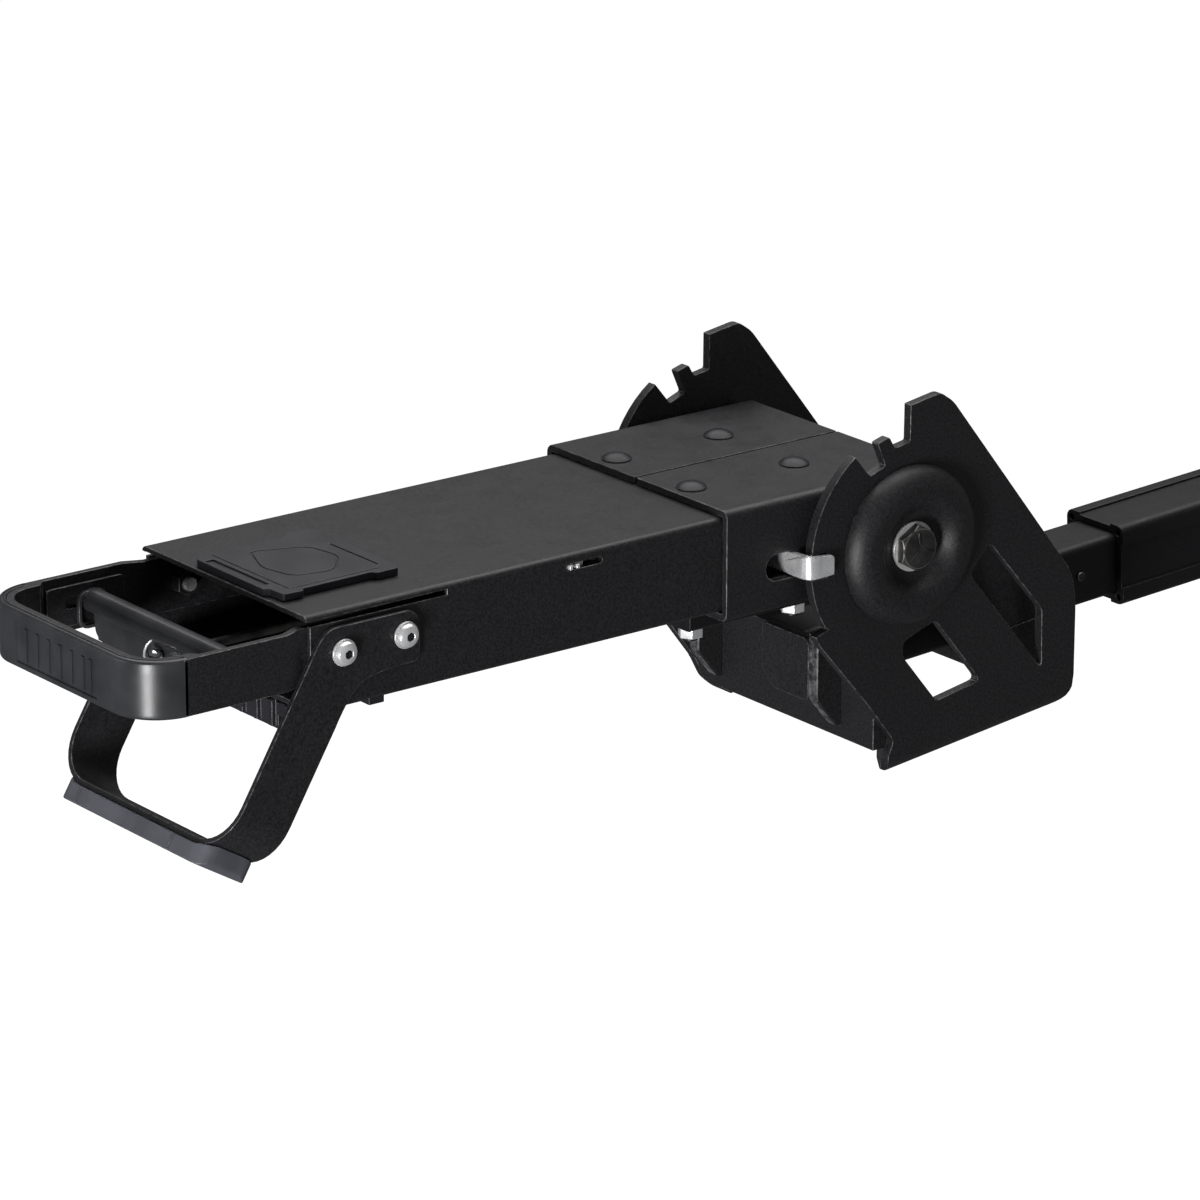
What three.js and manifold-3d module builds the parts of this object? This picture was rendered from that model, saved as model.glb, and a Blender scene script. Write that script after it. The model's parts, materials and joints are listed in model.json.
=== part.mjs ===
// Tilting hitch rack arm: a hitch tongue with an adapter sleeve carries a two-cheek bracket; a box-section
// arm turns between the cheeks on a through bolt and is locked by a sliding latch bar that a squeeze
// trigger in the end handle pulls through a long rod.
// Millimetres. +Z up, +Y from the handle end towards the vehicle, +X across. Y = 0 is the open end of the
// arm tube and Z = 0 its top face until the last lines, which move the origin to the tongue's pin hole.
import * as THREE from "three";
import { mergeVertices } from "three/addons/utils/BufferGeometryUtils.js";
import Module from "manifold-3d";

const wasm = await Module();
wasm.setup();

const GAP = 0.3; // clearance between touching pieces
const ARM = { halfWidth: 77.5, height: 55, wall: 3, bend: 3.5, length: 424 };
const HEAD = { halfWidth: 82, top: 4.5, bottom: -60, wall: 4, bend: 5, front: 280, rear: 427, seam: 0.8 };
const PIVOT = { y: 402, z: -35, boltR: 8, boreR: 8.06, sleeveR: 12 };
const CHEEK = { inner: 87, outer: 93, rimR: 70.5, bottomTilt: 6.1, bendR: 10, lipReach: 25 };
const TONGUE = {
  side: 38,
  wall: 4,
  bend: 4.5,
  tilt: 2.9,
  midY: 620,
  midZ: -112.5,
  front: 392,
  rear: 762,
  screwY: 601,
  screwZ: 0,
};
const SLEEVE = { side: 50, front: 630, rear: 758, railR: 3.2 };
const PIN = { y: 720, r: 8.2 };
const LATCH = { front: 326.3, back: 330, low: -41.4, high: -28.4, slotLow: -42.2, slotHigh: -26.9 };
const HANDLE = { half: 79, top: -7, bottom: -38.5, front: -104, cornerR: 28, strap: 4, skin: 4.3 };
const LIFT = { angle: 31.3, front: 12.6, back: 46.6, outer: 81.3, sheet: 3, cornerR: 27, bottom: 132 };
const BOLTS = { x: 34, ys: [293, 367], shankR: 4, holeR: 4.3, headR: 8.8 };
const SCREWS = { front: [21, -22.6], rear: [61.2, -21.2], shankR: 3.9, holeR: 4.3 };

const deg = Math.PI / 180;
const group = new THREE.Group();

// ---- solids ----
function solid(geometry, matrix) {
  const g = geometry.clone();
  if (matrix) g.applyMatrix4(matrix);
  g.deleteAttribute("normal");
  g.deleteAttribute("uv");
  const m = mergeVertices(g, 1e-4);
  return new wasm.Manifold(
    new wasm.Mesh({
      numProp: 3,
      vertProperties: new Float32Array(m.attributes.position.array),
      triVerts: new Uint32Array(m.index.array),
    }),
  );
}
function box(x0, x1, y0, y1, z0, z1) {
  const g = new THREE.BoxGeometry(x1 - x0, y1 - y0, z1 - z0);
  return solid(g, new THREE.Matrix4().makeTranslation((x0 + x1) / 2, (y0 + y1) / 2, (z0 + z1) / 2));
}
function basis(x, y, z, origin = [0, 0, 0]) {
  return new THREE.Matrix4()
    .makeBasis(new THREE.Vector3(...x), new THREE.Vector3(...y), new THREE.Vector3(...z))
    .setPosition(...origin);
}
function shapeOf(points, holes = []) {
  const s = new THREE.Shape(points.map(([a, b]) => new THREE.Vector2(a, b)));
  holes.forEach((h) => s.holes.push(new THREE.Path(h.map(([a, b]) => new THREE.Vector2(a, b)))));
  return s;
}
function extrude(shape, depth, matrix) {
  const g = new THREE.ExtrudeGeometry(shape, { depth, bevelEnabled: false });
  return solid(g, matrix);
}
// Outline in (Y, Z), extruded along X from x0 to x1.
function plateX(points, x0, x1) {
  return extrude(shapeOf(points), x1 - x0, basis([0, 1, 0], [0, 0, 1], [1, 0, 0], [x0, 0, 0]));
}
// Outline in (X, Y), extruded along Z from z0 to z1.
function plateZ(points, z0, z1) {
  return extrude(shapeOf(points), z1 - z0, basis([1, 0, 0], [0, 1, 0], [0, 0, 1], [0, 0, z0]));
}
// Outline in (X, Z), extruded along Y from y0 to y1.
function plateY(points, y0, y1) {
  return extrude(shapeOf(points), y1 - y0, basis([1, 0, 0], [0, 0, 1], [0, -1, 0], [0, y1, 0]));
}
function rod(axis, r, a, b, c0, c1, segments = 32) {
  const g = new THREE.CylinderGeometry(r, r, c1 - c0, segments);
  const m = new THREE.Matrix4();
  if (axis === "x") m.makeRotationZ(-Math.PI / 2).setPosition((c0 + c1) / 2, a, b);
  if (axis === "y") m.setPosition(a, (c0 + c1) / 2, b);
  if (axis === "z") m.makeRotationX(Math.PI / 2).setPosition(a, b, (c0 + c1) / 2);
  return solid(g, m);
}
const hex = (axis, flats, a, b, c0, c1) => rod(axis, flats / Math.sqrt(3), a, b, c0, c1, 6);
// Closed profile of (radius, height) turned about the local Y axis, then placed.
function lathe(profile, segments, matrix) {
  const pts = [...profile, profile[0]].map(([r, h]) => new THREE.Vector2(r, h));
  return solid(new THREE.LatheGeometry(pts, segments), matrix);
}
function arc(cx, cy, r, from, to, steps) {
  const pts = [];
  for (let i = 0; i <= steps; i += 1) {
    const t = (from + ((to - from) * i) / steps) * deg;
    pts.push([cx + r * Math.cos(t), cy + r * Math.sin(t)]);
  }
  return pts;
}
function roundedRect(x0, x1, y0, y1, r, steps = 4) {
  return [
    ...arc(x1 - r, y0 + r, r, -90, 0, steps),
    ...arc(x1 - r, y1 - r, r, 0, 90, steps),
    ...arc(x0 + r, y1 - r, r, 90, 180, steps),
    ...arc(x0 + r, y0 + r, r, 180, 270, steps),
  ];
}
// Polygon with each corner replaced by a small round; corners are [a, b, radius].
function rounded(corners, steps = 4) {
  const out = [];
  corners.forEach(([px, py, r = 0], i) => {
    const a = corners[(i + corners.length - 1) % corners.length];
    const b = corners[(i + 1) % corners.length];
    if (!r) {
      out.push([px, py]);
      return;
    }
    const p = new THREE.Vector2(px, py);
    const u = new THREE.Vector2(a[0] - px, a[1] - py);
    const v = new THREE.Vector2(b[0] - px, b[1] - py);
    const reach = Math.min(r, 0.48 * u.length(), 0.48 * v.length());
    const from = p.clone().addScaledVector(u.normalize(), reach);
    const to = p.clone().addScaledVector(v.normalize(), reach);
    new THREE.QuadraticBezierCurve(from, p, to).getPoints(steps).forEach((q) => out.push([q.x, q.y]));
  });
  return out;
}
function slotX(y0, y1, z0, z1, x0, x1) {
  return plateX(roundedRect(y0, y1, z0, z1, (z1 - z0) / 2 - 0.01, 6), x0, x1);
}
const mirrored = (s) => s.mirror([1, 0, 0]);
// Holes for the side screws that join the arm tube, the handle legs and the lift strap.
function withScrewHoles(s, x0, x1) {
  const holes = [SCREWS.front, SCREWS.rear].map(([y, z]) => rod("x", SCREWS.holeR, y, z, x0, x1, 16));
  return s.subtract(holes[0]).subtract(holes[1]);
}

// ---- nodes ----
const FINISH = {
  coat: { color: 0x1b1b1c, roughness: 0.55, metalness: 0.1 },
  coatDark: { color: 0x131314, roughness: 0.6, metalness: 0.1 },
  moulded: { color: 0x2a2a2c, roughness: 0.45, metalness: 0 },
  gripGrey: { color: 0x3a3d43, roughness: 0.5, metalness: 0 },
  plastic: { color: 0x161617, roughness: 0.6, metalness: 0 },
  zinc: { color: 0xc9ccd0, roughness: 0.3, metalness: 1 },
  steel: { color: 0x77736c, roughness: 0.55, metalness: 0.9 },
  blackBolt: { color: 0x1d1d20, roughness: 0.4, metalness: 0.5 },
  chrome: { color: 0xe4e4e6, roughness: 0.12, metalness: 1 },
};
const made = [];
function node(name, manifold, finish) {
  made.push([name, manifold, finish]);
}

// ---- hitch tongue and adapter sleeve, on the tilted tongue axis ----
const tongueFrame = new THREE.Matrix4()
  .makeRotationX(TONGUE.tilt * deg)
  .setPosition(0, TONGUE.midY, TONGUE.midZ);
const onTongue = (s) => s.transform([...tongueFrame.elements]);
const alongTongue = (y) => (y - TONGUE.midY) / Math.cos(TONGUE.tilt * deg);
function tongueTube() {
  const h = TONGUE.side / 2;
  const i = h - TONGUE.wall;
  const y0 = alongTongue(TONGUE.front);
  const y1 = alongTongue(TONGUE.rear);
  const outer = plateY(roundedRect(-h, h, -h, h, TONGUE.bend), y0, y1);
  const inner = plateY(roundedRect(-i, i, -i, i, 1.5), y0 - 1, y1 + 1);
  const pin = rod("x", PIN.r, alongTongue(PIN.y), 0, -h - 1, h + 1, 32);
  const screw = rod("x", 1.9, alongTongue(TONGUE.screwY), TONGUE.screwZ, 0, h + 1, 16);
  return outer.subtract(inner).subtract(pin).subtract(screw);
}
node("tongue_tube", onTongue(tongueTube()), "coatDark");
// Self-tapping screw in the tongue's side, in front of the sleeve.
function tongueScrew() {
  const y = alongTongue(TONGUE.screwY);
  const face = TONGUE.side / 2 + GAP;
  const head = rod("x", 2.8, y, TONGUE.screwZ, face, face + 1.2, 16);
  return head.add(rod("x", 1.6, y, TONGUE.screwZ, face - 7, face + 0.5, 16));
}
node("tongue_screw", onTongue(tongueScrew()), "steel");
function adapterSleeve() {
  const h = SLEEVE.side / 2;
  const y0 = alongTongue(SLEEVE.front);
  const y1 = alongTongue(SLEEVE.rear);
  let body = plateY(roundedRect(-h, h, -h, h, 5), y0, y1);
  const bore = TONGUE.side / 2 + GAP;
  body = body.subtract(plateY(roundedRect(-bore, bore, -bore, bore, TONGUE.bend), y0 - 1, y1 + 1));
  const face = 13.5;
  const step = 1.6;
  body = body.subtract(box(-face, face, y0 - 1, y1 + 1, h - step, h + 1));
  body = body.subtract(box(-face, face, y0 - 1, y1 + 1, -h - 1, -h + step));
  body = body.subtract(box(h - step, h + 1, y0 - 1, y1 + 1, -face, face));
  body = body.subtract(box(-h - 1, -h + step, y0 - 1, y1 + 1, -face, face));
  const c = h - 4.6;
  for (const [sx, sz] of [[1, 1], [1, -1], [-1, 1], [-1, -1]]) {
    body = body.subtract(rod("y", 2.1, sx * c, sz * c, y0 - 1, y1 + 1, 16));
  }
  body = body.subtract(rod("x", PIN.r, alongTongue(PIN.y), 0, -h - 1, h + 1, 32));
  return body;
}
node("adapter_sleeve", onTongue(adapterSleeve()), "coatDark");

// ---- bracket cheeks ----
const bottomAt = (y) => -156.8 + Math.tan(CHEEK.bottomTilt * deg) * (y - 526);
const rimArc = (from, to, steps) => arc(PIVOT.y, PIVOT.z, CHEEK.rimR, from, to, steps);
const cheekOutline = rounded([
  [402.5, 46.4],
  [424.5, 49.8, 3],
  [434.0, 43.2, 4],
  [500.5, -42],
  [526.5, -75.5, 7],
  [530.7, -93, 8],
  [530.7, bottomAt(530.7), 17],
  [392, bottomAt(392), 3],
  [389.8, -161, 3],
  [394.2, -151, 3],
  [374.3, -125],
  [339.3, -83.6],
  [335.5, -77],
  [344.6, -74],
  ...rimArc(212, 186.4, 5),
  [343, -42.9],
  [343, -28.2],
  ...rimArc(174.4, 124, 9),
  [373.5, 10.2, 1.5],
  [384.6, 14.4, 1.5],
  [378.6, 28.2, 1.5],
  [387.2, 30.6, 1.5],
  [391.4, 23.4, 1.2],
  [402.3, 25.2, 1.2],
]);
const windowA = rounded([
  [400, -92.6, 3],
  [423.5, -84.6, 3],
  [458.5, -128, 5],
  [425.5, -133.4, 2],
  [399.8, -101.5, 3],
]);
const windowB = rounded([
  [463.5, -46.2, 4],
  [504.4, -94.2, 3],
  [505.2, -131, 5],
  [448.6, -62, 5],
]);
function cheek() {
  const { inner, outer, bendR } = CHEEK;
  const tilt = CHEEK.bottomTilt * deg;
  const above = 12;
  const aboveFold = [[300, bottomAt(300) + above], [600, bottomAt(600) + above], [600, 100], [300, 100]];
  const keep = plateX(aboveFold, inner - 1, outer + 1);
  const flat = plateX(cheekOutline, inner, outer).intersect(keep);
  const sheet = outer - inner;
  const lip = outer - CHEEK.lipReach;
  // Folded lower edge: an L with a round bend, in (X, height above the bottom line).
  const fold = [
    [outer, 24],
    ...arc(outer - bendR, bendR, bendR, 0, -90, 6),
    [lip, 0],
    [lip, sheet],
    ...arc(outer - bendR, bendR, bendR - sheet, -90, 0, 5),
    [inner, 24],
  ];
  const along = [0, Math.cos(tilt), Math.sin(tilt)];
  const up = [0, -Math.sin(tilt), Math.cos(tilt)];
  const start = 380;
  const length = 170;
  const farEnd = [0, start + length * along[1], bottomAt(start) + length * along[2]];
  const run = basis([1, 0, 0], up, [0, -along[1], -along[2]], farEnd);
  const lipSolid = extrude(shapeOf(fold), length, run).intersect(plateX(cheekOutline, lip - 1, outer + 1));
  return flat
    .add(lipSolid)
    .subtract(plateX(windowA, inner - 1, outer + 1))
    .subtract(plateX(windowB, inner - 1, outer + 1))
    .subtract(plateZ([[lip - 2, 380], [inner, 380], [inner, 389.6], [lip - 2, 404]], -190, -160))
    .subtract(rod("x", PIVOT.boltR + 0.2, PIVOT.y, PIVOT.z, inner - 1, outer + 1, 32));
}
const cheekSolid = cheek();
node("cheek_right", cheekSolid, "coat");
// The left cheek's lower front corner is cut back further than the right one's.
const cornerCut = [[375, -153], [393.6, -150.5], [400.6, -163.8], [407, -171.6], [409, -185], [375, -185]];
const cheekLeft = cheekSolid.subtract(plateX(cornerCut, 60, 100));
node("cheek_left", mirrored(cheekLeft), "coat");

// ---- pressed caps, pivot bolt, nut and washers ----
function dish() {
  const face = CHEEK.outer + GAP;
  const top = [
    [46.7, 0], [46.6, 1.2], [45.8, 3.8], [44, 6.6], [41.2, 9.2], [37.6, 11.3], [33.8, 12.3], [30, 12.1],
    [26.8, 10.5], [24, 8], [21.6, 5.4], [19.4, 3.7], [17, 3], [15.2, 2.8], [8.4, 2.8],
  ];
  const under = [
    [8.4, 0], [17, 0], [20.6, 1.6], [24.4, 5.2], [27.6, 8.4], [30.6, 9.8],
    [34, 10], [38, 8.8], [41.6, 5.8], [43.4, 3], [44, 0],
  ];
  const m = basis([0, 1, 0], [1, 0, 0], [0, 0, -1], [face, PIVOT.y, PIVOT.z]);
  return lathe([...top, ...under], 48, m);
}
const dishSolid = dish();
node("pivot_cap_right", dishSolid, "coat");
node("pivot_cap_left", mirrored(dishSolid), "coat");
const seat = CHEEK.outer + GAP + 2.8;
const washer = rod("x", 14.6, PIVOT.y, PIVOT.z, seat + GAP, seat + GAP + 1.8, 32)
  .subtract(rod("x", PIVOT.boltR + 0.3, PIVOT.y, PIVOT.z, seat, seat + 4, 32));
node("pivot_washer_right", washer, "zinc");
node("pivot_washer_left", mirrored(washer), "zinc");
const head0 = seat + GAP * 2 + 1.8;
const hexFlats = 24;
const headTop = [[0, 0], [14, 0], [14, 3.2], [11.6, 5.4], [0, 5.8]];
const headAt = basis([0, 1, 0], [1, 0, 0], [0, 0, -1], [head0, PIVOT.y, PIVOT.z]);
const pivotBolt = hex("x", hexFlats, PIVOT.y, PIVOT.z, head0, head0 + 6.5)
  .intersect(lathe(headTop, 36, headAt))
  .add(rod("x", PIVOT.boltR, PIVOT.y, PIVOT.z, -108.5, head0 + 1, 32));
node("pivot_bolt", pivotBolt, "steel");
const pivotNut = hex("x", hexFlats, PIVOT.y, PIVOT.z, -head0 - 8, -head0).subtract(
  rod("x", PIVOT.boltR + 0.15, PIVOT.y, PIVOT.z, -head0 - 9, -head0 + 1, 32),
);
node("pivot_nut", pivotNut, "steel");

// ---- plates between the cheeks ----
const inside = CHEEK.inner - GAP;
function frontPanel() {
  const outline = rounded([
    [-inside, -132], [-75, -142, 4], [-70.5, -153, 3], [-64, -156.6], [inside, -156.6],
    [inside, -110, 4], [70, -104, 6], [-70, -104, 6], [-inside, -110, 4],
  ]);
  const tab = rounded([
    [-9, -106], [-9, -132, 8], [0, -141, 6], [33, -141, 3], [33, -103.5, 5], [-6, -103.5, 3],
  ]);
  const plate = plateY(outline, 384, 389).add(plateY(tab, 380.2, 385));
  // Short returned ends that close the gap to the cheeks below their notched front edges.
  const end = box(inside - 5, inside, 388, 397, -156.6, -134);
  return plate.add(end).add(box(-inside, 5 - inside, 388, 397, -131, -120));
}
node("front_panel", frontPanel(), "coat");
const ribOutline = rounded([[366, -92, 2], [383.7, -92], [383.7, -149], [380.5, -149, 2], [366, -131, 3]]);
node("rib_right", plateX(ribOutline, 50, 58), "coat");
node("rib_left", plateX(ribOutline, -58, -50), "coat");
function rearPanel() {
  const low = -150.5;
  const corner = 5; // cut back to clear the cheeks' folds
  const foot = [
    [-inside, low + corner], [corner - inside, low], [inside - corner, low], [inside, low + corner],
  ];
  const outline = [...foot, [inside, -64], [-inside, -64]];
  const shoulders = [
    ...foot, [inside, -101], [21.5, -136.2], [19.5, -138.2],
    [-19.5, -138.2], [-21.5, -136.2], [-inside, -101],
  ];
  const tongueZ = TONGUE.midZ + Math.tan(TONGUE.tilt * deg) * (515 - TONGUE.midY);
  const half = TONGUE.side / 2 + GAP;
  const hole = roundedRect(-half, half, tongueZ - half - 0.3, tongueZ + half + 0.3, 3.5);
  return plateY(outline, 515, 518).add(plateY(shoulders, 512, 516)).subtract(plateY(hole, 505, 525));
}
node("rear_panel", rearPanel(), "coat");

// ---- arm tube ----
function latchSlot(x0, x1) {
  return slotX(308.2, 335, LATCH.slotLow, LATCH.slotHigh, x0, x1);
}
function armTube() {
  const { halfWidth: w, height: h, wall: t, bend, length } = ARM;
  let s = plateY(roundedRect(-w, w, -h, 0, bend), 0, length);
  s = s.subtract(plateY(roundedRect(-w + t, w - t, -h + t, -t, 1), -1, length + 1));
  s = s.subtract(box(-w - 1, w + 1, -1, 2.5, -h - 1, -t - 0.2));
  for (const side of [-1, 1]) {
    const x0 = side > 0 ? w - t - 1 : -w - 1;
    const x1 = side > 0 ? w + 1 : -w + t + 1;
    s = s.subtract(box(x0, x1, 0, 92, -6.2, -t - 0.2));
    s = s.subtract(latchSlot(x0, x1));
    s = s.subtract(rod("x", PIVOT.sleeveR + GAP, PIVOT.y, PIVOT.z, x0, x1, 32));
    s = withScrewHoles(s, x0, x1);
    for (const y of BOLTS.ys) s = s.subtract(rod("z", BOLTS.holeR, side * BOLTS.x, y, -h - 1, 1, 16));
  }
  return s.subtract(slotX(172.5, 196.7, -8.9, -5.5, w - t - 1, w + 1));
}
node("arm_tube", armTube(), "coat");

// ---- folded head halves round the pivot ----
function headHalf() {
  const { halfWidth: w, top, bottom, wall, bend, front, rear, seam } = HEAD;
  let s = plateY(roundedRect(-w, w, bottom, top, bend, 5), front, rear);
  const cavity = roundedRect(-w + wall, w - wall, bottom + wall + 0.4, top - wall - 0.1, 1.2);
  s = s.subtract(plateY(cavity, front - 1, rear + 1));
  s = s.subtract(box(-w - 1, seam, front - 1, rear + 1, bottom - 1, top + 1));
  s = s.subtract(latchSlot(w - wall - 1, w + 1));
  s = s.subtract(rod("x", PIVOT.sleeveR + GAP, PIVOT.y, PIVOT.z, w - wall - 1, w + 1, 32));
  for (const y of BOLTS.ys) s = s.subtract(rod("z", BOLTS.holeR, BOLTS.x, y, bottom - 1, top + 1, 16));
  return s;
}
const headSolid = headHalf();
node("head_right", headSolid, "coat");
node("head_left", mirrored(headSolid), "coat");

// Channel under the head that the four bolts clamp.
const keeperTop = HEAD.bottom - GAP;
const keeperLow = -76;
function keeper() {
  const low = keeperLow;
  const outline = rounded([[-46, low, 3], [46, low, 3], [46, keeperTop], [-46, keeperTop]]);
  let s = plateY(outline, 283, 378);
  s = s.subtract(box(-42, 42, 289, 380, low + 4, keeperTop + 1));
  for (const x of [-BOLTS.x, BOLTS.x]) {
    for (const y of BOLTS.ys) s = s.subtract(rod("z", BOLTS.holeR, x, y, low - 1, low + 6, 16));
  }
  return s;
}
node("head_keeper", keeper(), "coatDark");
const boltNames = ["a", "b", "c", "d"];
const boltAt = BOLTS.ys.flatMap((y) => [[BOLTS.x, y], [-BOLTS.x, y]]);
boltAt.forEach(([x, y], i) => {
  const z = HEAD.top + GAP;
  const domeProfile = [[0, 3.6], [4, 3.1], [6.8, 1.9], [BOLTS.headR, 0.5], [BOLTS.headR, 0], [0, 0]];
  const dome = lathe(domeProfile.slice().reverse(), 20, basis([1, 0, 0], [0, 0, 1], [0, -1, 0], [x, y, z]));
  const shank = rod("z", BOLTS.shankR, x, y, keeperLow - 9, z + 0.5, 16);
  node(`head_bolt_${boltNames[i]}`, dome.add(shank), "blackBolt");
  const nut = hex("z", 13, x, y, keeperLow - 6.9, keeperLow - GAP)
    .subtract(rod("z", BOLTS.shankR + 0.15, x, y, keeperLow - 8, keeperLow + 1, 16));
  node(`head_nut_${boltNames[i]}`, nut, "zinc");
});

// Flanged sleeve that fills the arm round the pivot bolt.
const flangeIn = HEAD.halfWidth + GAP;
const flangeOut = CHEEK.inner - GAP;
node(
  "pivot_sleeve",
  rod("x", PIVOT.sleeveR, PIVOT.y, PIVOT.z, -flangeOut, flangeOut, 32)
    .add(rod("x", 18, PIVOT.y, PIVOT.z, flangeIn, flangeOut, 32))
    .add(rod("x", 18, PIVOT.y, PIVOT.z, -flangeOut, -flangeIn, 40))
    .subtract(rod("x", PIVOT.boreR, PIVOT.y, PIVOT.z, -90, 90, 32)),
  "steel",
);

// ---- top plate ----
function trayPlate() {
  const z = GAP;
  const outline = rounded([
    [-31, 5, 1.5], [-27, 2, 1], [36, 1.4, 1], [38, 4.5, 1], [50, 5, 1.2], [51, 17, 1],
    [48, 19, 0.8], [47.4, 64, 0.8], [50.4, 66, 1], [50, 80, 1.2], [40, 82, 1], [-29, 83, 1.5],
    [-35, 78, 1.5], [-35, 66, 1], [-32, 64, 0.8], [-32, 20, 0.8], [-35, 18, 1], [-35, 9, 1.5],
  ], 2);
  const pad = roundedRect(-29, 45, 12, 72, 1.5);
  // Plain closed groove, a shallow pocket along the front and two narrow slots.
  const grooveOut = rounded([
    [-20, 31, 6], [-8, 62, 7], [15, 66, 7], [35, 50, 7], [30, 25, 7], [6, 20, 6],
  ], 5);
  const grooveIn = rounded([
    [-18.8, 31.4, 6], [-7.2, 60.9, 7], [14.7, 64.7, 7], [33.7, 49.5, 7], [29.1, 26.1, 7], [6.3, 21.2, 6],
  ], 5);
  const groove = plateZ(grooveOut, 4.4, 6).subtract(plateZ(grooveIn, 4, 7));
  return plateZ(outline, z, z + 4.2)
    .add(plateZ(pad, z + 1, z + 4.9))
    .subtract(groove)
    .subtract(plateZ([[-22, 3.6], [31, 3.6], [31, 9], [-22, 9]], 3.3, 6))
    .subtract(plateZ([[-33, 24], [-30.4, 24], [-30.4, 60], [-33, 60]], 2.6, 6))
    .subtract(plateZ([[-6, 74], [38, 74], [38, 75.2], [-6, 75.2]], 3.5, 6));
}
node("tray_plate", trayPlate(), "plastic");

// ---- block under the open end ----
function noseBlock() {
  const under = -ARM.height - GAP;
  let s = plateX([[3, under], [3, -64], [9, -64], [24, -60.2], [54, -60.2], [54, under]], -64, 64);
  s = s.add(plateX([[3, under], [3, -72], [8, -72], [24, -61], [24, under]], -46, 46));
  s = s.add(plateX([[44, under], [44, -60.2], [54, -60.2], [54, under]], -72, 72));
  for (let i = 0; i < 9; i += 1) {
    const x = -56 + i * 14;
    const low = Math.abs(x) < 44 ? -70.5 : -62.6;
    s = s.add(plateX([[0.4, under - 0.5], [0.4, low], [3.5, low], [3.5, under - 0.5]], x - 2, x + 2));
  }
  return s;
}
node("nose_block", noseBlock(), "plastic");

// Small catch in the side slot.
node(
  "side_clip",
  box(70.6, 74.2, 172, 186, -12, -3.6)
    .add(box(73.5, 79.2, 173.2, 175.4, -8.4, -6))
    .add(box(73.5, 79.2, 178, 180.2, -8.4, -6)),
  "zinc",
);

// ---- end handle ----
function loopOutline(offset) {
  const r = HANDLE.cornerR - offset;
  const cx = HANDLE.half - HANDLE.cornerR;
  const cy = HANDLE.front + HANDLE.cornerR;
  return [...arc(-cx, cy, r, 180, 270, 9), ...arc(cx, cy, r, 270, 360, 9)];
}
const seamY = HANDLE.front + HANDLE.cornerR - 2;
const legEnd = 74;
function handleStrap() {
  const o = HANDLE.skin + GAP;
  const t = HANDLE.strap;
  const tubeIn = ARM.halfWidth - ARM.wall - GAP;
  const right = [
    [HANDLE.half - o, seamY], [HANDLE.half, seamY], [HANDLE.half, -13], [tubeIn, -2],
    [tubeIn, legEnd], [tubeIn - t, legEnd], [tubeIn - t, -3.6],
    [HANDLE.half - t, -14.5], [HANDLE.half - t, -66], [HANDLE.half - o - t, -70],
  ];
  const left = right.map(([x, y]) => [-x, y]).reverse();
  const outer = loopOutline(o).filter(([, y]) => y < seamY - 0.2);
  const inner = loopOutline(o + t).filter(([, y]) => y < seamY - 0.2).reverse();
  let s = plateZ([...outer, ...right, ...inner, ...left], HANDLE.bottom, HANDLE.top);
  return withScrewHoles(s, -90, 90);
}
node("handle_strap", handleStrap(), "coat");
function handleGrip() {
  const lift = 0.5;
  const clip = box(-100, 100, -120, seamY - GAP, HANDLE.bottom - 2, HANDLE.top + 2);
  const outer = [...loopOutline(0), [HANDLE.half, 0], [-HANDLE.half, 0]];
  const innerHalf = HANDLE.half - HANDLE.skin;
  const inner = [...loopOutline(HANDLE.skin), [innerHalf, 1], [-innerHalf, 1]];
  let s = plateZ(outer, HANDLE.bottom - lift, HANDLE.top + lift).intersect(clip);
  s = s.subtract(plateZ(inner, HANDLE.bottom - 3, HANDLE.top + 3));
  return s.subtract(box(-43, 35, HANDLE.front - 1, HANDLE.front + 1.2, -35.6, -13.6));
}
node("handle_grip", handleGrip(), "moulded");

// Slotted guide plates on the inner faces of the handle legs.
const TRIGGER = { y: -37, z: -22, pinR: 2.8, stroke: 13 };
const guideOut = HANDLE.half - HANDLE.strap - GAP;
const guideIn = guideOut - 2.1;
function guide() {
  const outline = rounded([[-65, -12, 3], [-15, -12, 3], [-15, -35, 3], [-65, -35, 3]]);
  const { y, z, pinR, stroke } = TRIGGER;
  const r = pinR + GAP;
  const track = slotX(y - stroke - r, y + r, z - r, z + r, guideIn - 1, guideOut + 1);
  return plateX(outline, guideIn, guideOut).subtract(track);
}
const guideSolid = guide();
node("trigger_guide_right", guideSolid, "coat");
node("trigger_guide_left", mirrored(guideSolid), "coat");

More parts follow.
